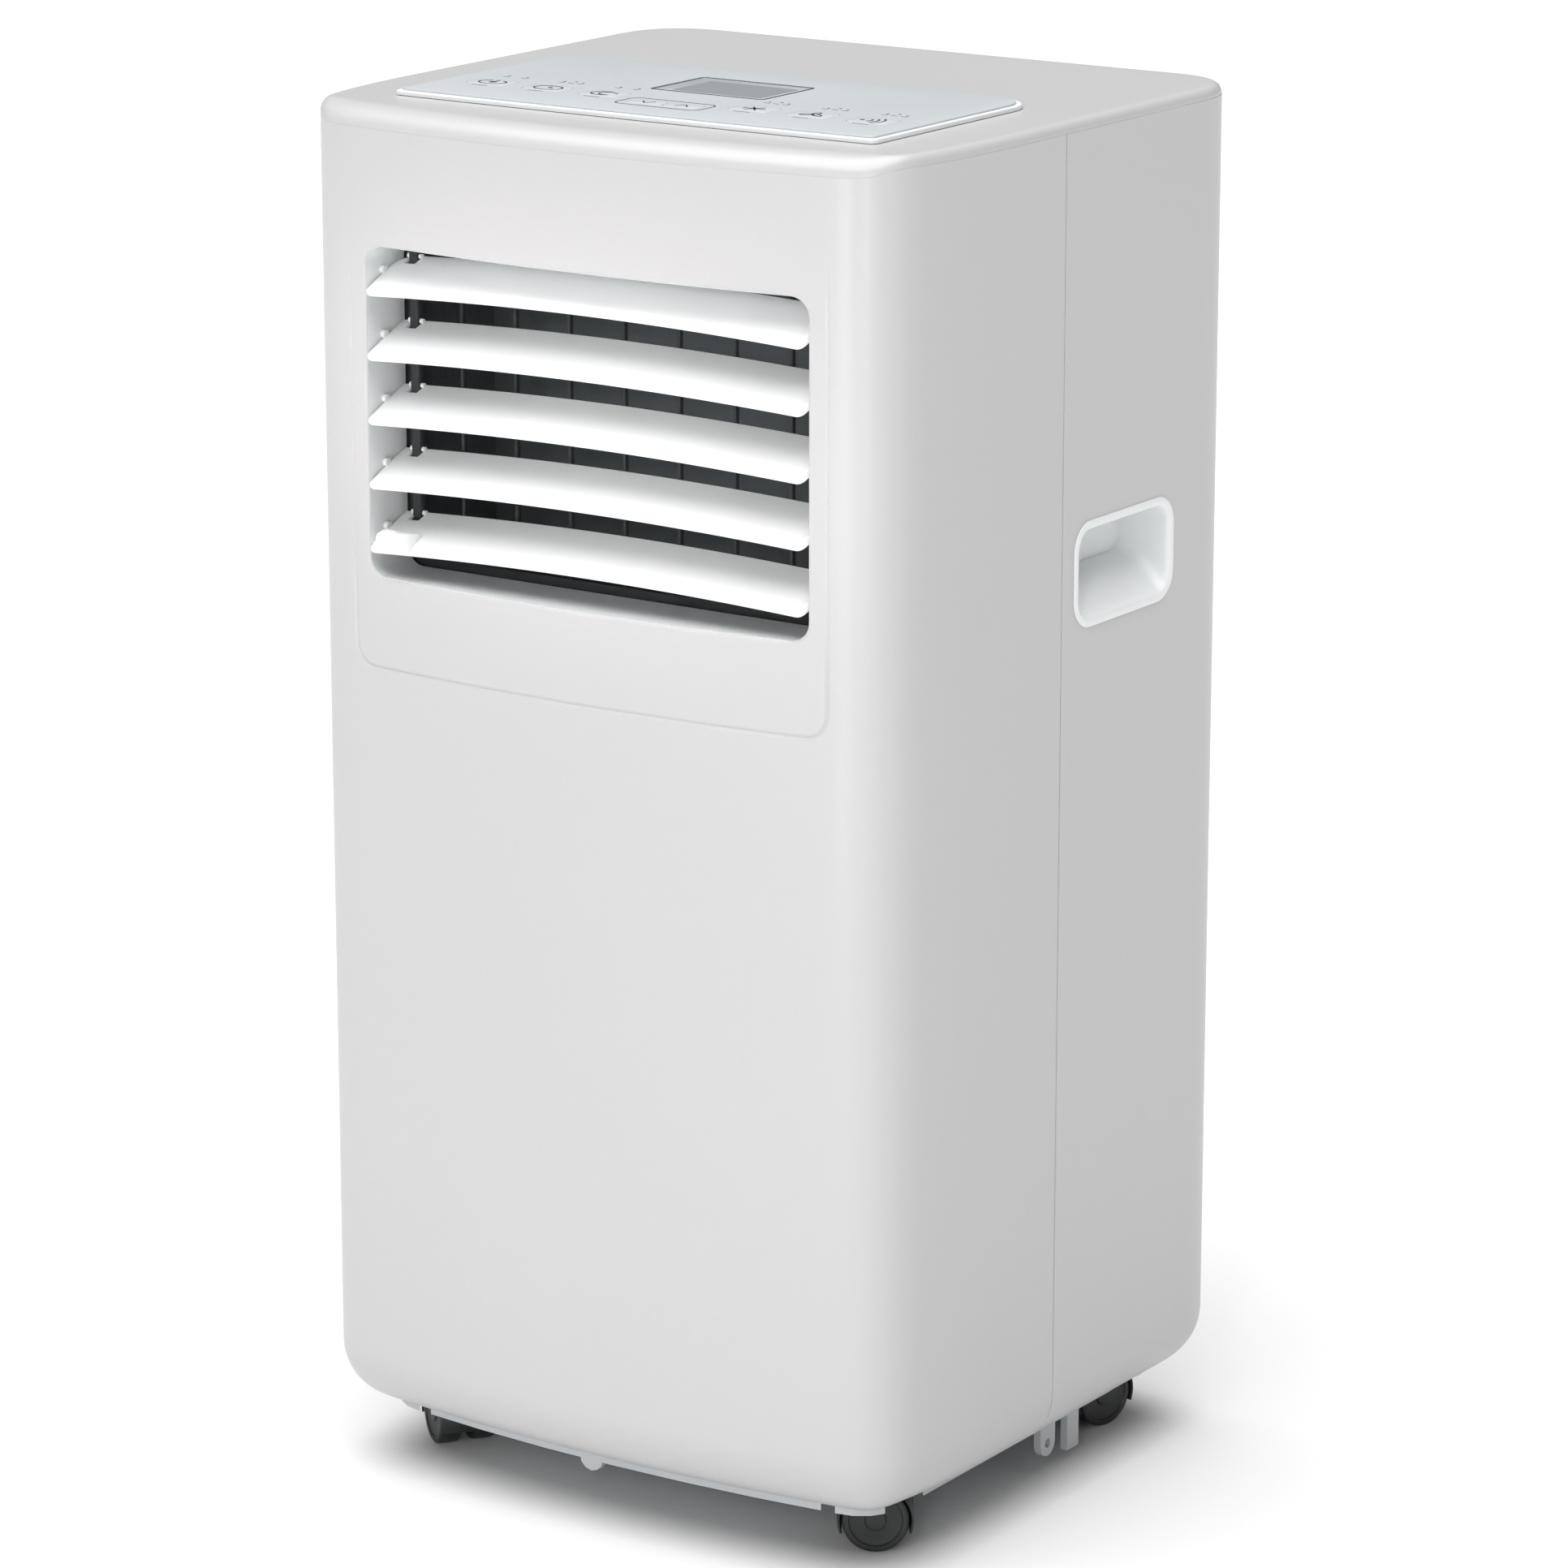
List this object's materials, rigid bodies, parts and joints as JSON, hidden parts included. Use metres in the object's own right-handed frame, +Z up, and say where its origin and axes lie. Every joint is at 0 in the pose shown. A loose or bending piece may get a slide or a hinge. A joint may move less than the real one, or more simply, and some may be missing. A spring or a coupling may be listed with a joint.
{
  "type": "portable air conditioner",
  "caption": "Tall white portable air conditioner on casters, with tilting front louvres, a top key panel, side grips and rear intakes.",
  "frame": {"origin": "on the floor, under the middle of the cabinet's bounding box", "axes": "+Z up, -Y towards the front with the louvres, +X to the right as seen from behind the front face"},
  "size_m": [0.3584, 0.336, 0.7036],
  "materials": {
    "white_casing": "moulded white ABS, satin",
    "white_trim": "moulded white ABS",
    "louvre_white": "moulded white ABS",
    "grey_tray": "moulded light grey polypropylene",
    "foil_grey": "printed satin polyester overlay",
    "key_grey": "printed satin polyester key",
    "lens_grey": "smoked display lens",
    "dark_plastic": "moulded black nylon",
    "duct_foam": "dark expanded polystyrene foam",
    "board_green": "solder-masked circuit board",
    "coil_fins": "rolled fin stock",
    "compressor_black": "black enamel on drawn steel",
    "motor_steel": "zinc-plated pressed steel",
    "copper": "drawn copper tube",
    "capacitor_white": "moulded capacitor case",
    "filter_grey": "woven nylon mesh in a moulded frame",
    "rubber_black": "moulded rubber"
  },
  "bodies": {
    "cabinet": {"base_tray": "grey_tray", "front_casing": "white_casing", "rear_casing": "white_casing", "top_cover": "white_casing", "outlet_frame": "white_trim", "outlet_guard": "dark_plastic", "outlet_duct": "duct_foam", "control_plate": "white_trim", "control_foil": "foil_grey", "display_window": "lens_grey", "control_board": "board_green", "grip_well_right": "white_trim", "grip_well_left": "white_trim", "exhaust_collar": "white_trim", "cord_gland": "rubber_black", "cold_blower_scroll": "duct_foam", "cold_fan_motor": "motor_steel", "hot_blower_scroll": "duct_foam", "hot_fan_motor": "motor_steel", "partition_deck": "duct_foam", "exhaust_duct": "duct_foam", "evaporator_coil": "coil_fins", "condenser_coil": "coil_fins", "compressor": "compressor_black", "suction_pipe": "copper", "discharge_pipe": "copper", "electric_box": "motor_steel", "run_capacitor": "capacitor_white"},
    "caster_front_left": {"caster_yoke_front_left": "dark_plastic"},
    "wheels_front_left": {"caster_wheels_front_left": "dark_plastic"},
    "caster_front_right": {"caster_yoke_front_right": "dark_plastic"},
    "wheels_front_right": {"caster_wheels_front_right": "dark_plastic"},
    "caster_rear_left": {"caster_yoke_rear_left": "dark_plastic"},
    "wheels_rear_left": {"caster_wheels_rear_left": "dark_plastic"},
    "caster_rear_right": {"caster_yoke_rear_right": "dark_plastic"},
    "wheels_rear_right": {"caster_wheels_rear_right": "dark_plastic"},
    "louvre_5_blade": {"louvre_5": "louvre_white"},
    "louvre_4_blade": {"louvre_4": "louvre_white"},
    "louvre_3_blade": {"louvre_3": "louvre_white"},
    "louvre_2_blade": {"louvre_2": "louvre_white"},
    "louvre_1_blade": {"louvre_1": "louvre_white"},
    "louvre_link_bar": {"louvre_link": "louvre_white"},
    "power_key": {"key_power": "key_grey"},
    "timer_key": {"key_timer": "key_grey"},
    "sleep_key": {"key_sleep": "key_grey"},
    "mode_key": {"key_mode": "key_grey"},
    "fan_speed_key": {"key_fan_speed": "key_grey"},
    "swing_key": {"key_swing": "key_grey"},
    "temperature_down_key": {"key_temperature_down": "key_grey"},
    "temperature_up_key": {"key_temperature_up": "key_grey"},
    "cold_fan": {"cold_blower_wheel": "dark_plastic"},
    "hot_fan": {"hot_blower_wheel": "dark_plastic"},
    "upper_cassette": {"upper_intake_grille": "white_trim", "upper_dust_filter": "filter_grey"},
    "upper_plug": {"upper_drain_plug": "rubber_black"},
    "lower_cassette": {"lower_intake_grille": "white_trim", "lower_dust_filter": "filter_grey"},
    "lower_plug": {"lower_drain_plug": "rubber_black"}
  },
  "joints": [
    {"name": "front_left_swivel", "type": "hinge", "parent": "cabinet", "child": "caster_front_left", "pos_m": [-0.122, -0.102, 0.04], "axis": [0, 0, 1], "continuous": true},
    {"name": "front_left_roll", "type": "hinge", "parent": "caster_front_left", "child": "wheels_front_left", "pos_m": [-0.12799, -0.09749, 0.01679], "axis": [-0.6018, -0.7986, 0], "continuous": true},
    {"name": "front_right_swivel", "type": "hinge", "parent": "cabinet", "child": "caster_front_right", "pos_m": [0.122, -0.102, 0.04], "axis": [0, 0, 1], "continuous": true},
    {"name": "front_right_roll", "type": "hinge", "parent": "caster_front_right", "child": "wheels_front_right", "pos_m": [0.12822, -0.09781, 0.01679], "axis": [-0.5592, 0.829, 0], "continuous": true},
    {"name": "rear_left_swivel", "type": "hinge", "parent": "cabinet", "child": "caster_rear_left", "pos_m": [-0.122, 0.102, 0.04], "axis": [0, 0, 1], "continuous": true},
    {"name": "rear_left_roll", "type": "hinge", "parent": "caster_rear_left", "child": "wheels_rear_left", "pos_m": [-0.12517, 0.1088, 0.01679], "axis": [-0.9063, -0.4226, 0], "continuous": true},
    {"name": "rear_right_swivel", "type": "hinge", "parent": "cabinet", "child": "caster_rear_right", "pos_m": [0.122, 0.102, 0.04], "axis": [0, 0, 1], "continuous": true},
    {"name": "rear_right_roll", "type": "hinge", "parent": "caster_rear_right", "child": "wheels_rear_right", "pos_m": [0.12432, 0.10913, 0.01679], "axis": [-0.9511, 0.309, 0], "continuous": true},
    {"name": "louvre_5_tilt", "type": "hinge", "parent": "cabinet", "child": "louvre_5_blade", "pos_m": [0, -0.1465, 0.4917], "axis": [1, 0, 0], "range_deg": [-56, 9]},
    {"name": "louvre_4_tilt", "type": "hinge", "parent": "cabinet", "child": "louvre_4_blade", "pos_m": [0, -0.1465, 0.52355], "axis": [1, 0, 0], "range_deg": [-56, 9]},
    {"name": "louvre_3_tilt", "type": "hinge", "parent": "cabinet", "child": "louvre_3_blade", "pos_m": [0, -0.1465, 0.5554], "axis": [1, 0, 0], "range_deg": [-56, 9]},
    {"name": "louvre_2_tilt", "type": "hinge", "parent": "cabinet", "child": "louvre_2_blade", "pos_m": [0, -0.1465, 0.58725], "axis": [1, 0, 0], "range_deg": [-56, 9]},
    {"name": "louvre_1_tilt", "type": "hinge", "parent": "cabinet", "child": "louvre_1_blade", "pos_m": [0, -0.1465, 0.6191], "axis": [1, 0, 0], "range_deg": [-56, 9]},
    {"name": "link_pivot", "type": "hinge", "parent": "louvre_5_blade", "child": "louvre_link_bar", "pos_m": [0, -0.13371, 0.49739], "axis": [1, 0, 0], "range_deg": [-9, 56]},
    {"name": "power_press", "type": "slide", "parent": "cabinet", "child": "power_key", "axis": [0, 0, -1], "range_m": [0, 0.0004], "stiffness_N_per_m": 4000},
    {"name": "timer_press", "type": "slide", "parent": "cabinet", "child": "timer_key", "axis": [0, 0, -1], "range_m": [0, 0.0004], "stiffness_N_per_m": 4000},
    {"name": "sleep_press", "type": "slide", "parent": "cabinet", "child": "sleep_key", "axis": [0, 0, -1], "range_m": [0, 0.0004], "stiffness_N_per_m": 4000},
    {"name": "mode_press", "type": "slide", "parent": "cabinet", "child": "mode_key", "axis": [0, 0, -1], "range_m": [0, 0.0004], "stiffness_N_per_m": 4000},
    {"name": "fan_speed_press", "type": "slide", "parent": "cabinet", "child": "fan_speed_key", "axis": [0, 0, -1], "range_m": [0, 0.0004], "stiffness_N_per_m": 4000},
    {"name": "swing_press", "type": "slide", "parent": "cabinet", "child": "swing_key", "axis": [0, 0, -1], "range_m": [0, 0.0004], "stiffness_N_per_m": 4000},
    {"name": "temperature_down_press", "type": "slide", "parent": "cabinet", "child": "temperature_down_key", "axis": [0, 0, -1], "range_m": [0, 0.0004], "stiffness_N_per_m": 4000},
    {"name": "temperature_up_press", "type": "slide", "parent": "cabinet", "child": "temperature_up_key", "axis": [0, 0, -1], "range_m": [0, 0.0004], "stiffness_N_per_m": 4000},
    {"name": "cold_fan_spin", "type": "hinge", "parent": "cabinet", "child": "cold_fan", "pos_m": [0.01, 0, 0.387], "axis": [0, 1, 0], "continuous": true},
    {"name": "hot_fan_spin", "type": "hinge", "parent": "cabinet", "child": "hot_fan", "pos_m": [0.052, 0, 0.168], "axis": [0, 1, 0], "continuous": true},
    {"name": "upper_cassette_pull", "type": "slide", "parent": "cabinet", "child": "upper_cassette", "axis": [0, 1, 0], "range_m": [0, 0.06]},
    {"name": "upper_plug_pull", "type": "slide", "parent": "cabinet", "child": "upper_plug", "axis": [0, 1, 0], "range_m": [0, 0.02]},
    {"name": "lower_cassette_pull", "type": "slide", "parent": "cabinet", "child": "lower_cassette", "axis": [0, 1, 0], "range_m": [0, 0.06]},
    {"name": "lower_plug_pull", "type": "slide", "parent": "cabinet", "child": "lower_plug", "axis": [0, 1, 0], "range_m": [0, 0.02]}
  ],
  "couplings": [
    {"joint": "louvre_4_tilt", "follows": "louvre_5_tilt", "ratio": 1},
    {"joint": "louvre_3_tilt", "follows": "louvre_5_tilt", "ratio": 1},
    {"joint": "louvre_2_tilt", "follows": "louvre_5_tilt", "ratio": 1},
    {"joint": "louvre_1_tilt", "follows": "louvre_5_tilt", "ratio": 1},
    {"joint": "link_pivot", "follows": "louvre_5_tilt", "ratio": -1}
  ]
}
